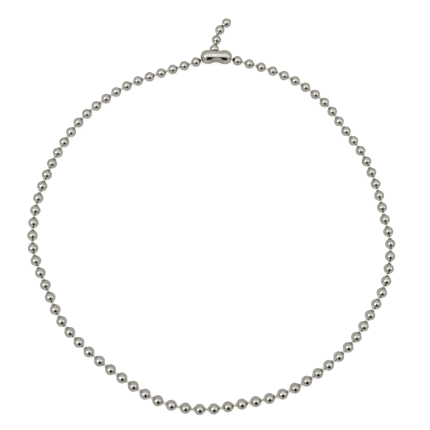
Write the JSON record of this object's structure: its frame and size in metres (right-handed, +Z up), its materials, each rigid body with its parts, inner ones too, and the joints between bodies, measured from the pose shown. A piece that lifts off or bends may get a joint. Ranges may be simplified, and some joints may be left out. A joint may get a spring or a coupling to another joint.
{
  "type": "ball chain necklace",
  "caption": "Ball chain necklace lying in a loop: hollow round beads joined by short wire links, closed by a folded snap connector, with a short free tail.",
  "frame": {"origin": "middle of the necklace's outline as it lies, on the surface that it lies on", "axes": "+Z up from the surface, +Y from the front of the loop towards the connector, +X to the right when seen with the connector at the far side"},
  "size_m": [0.1714, 0.2002, 0.007],
  "materials": {
    "bead_metal": "polished stainless steel",
    "link_metal": "drawn wire, dull in the gaps",
    "connector_metal": "polished folded sheet with fine grain"
  },
  "bodies": {
    "root": {"chain_beads": "bead_metal", "chain_links": "link_metal", "snap_connector": "connector_metal"}
  },
  "joints": []
}
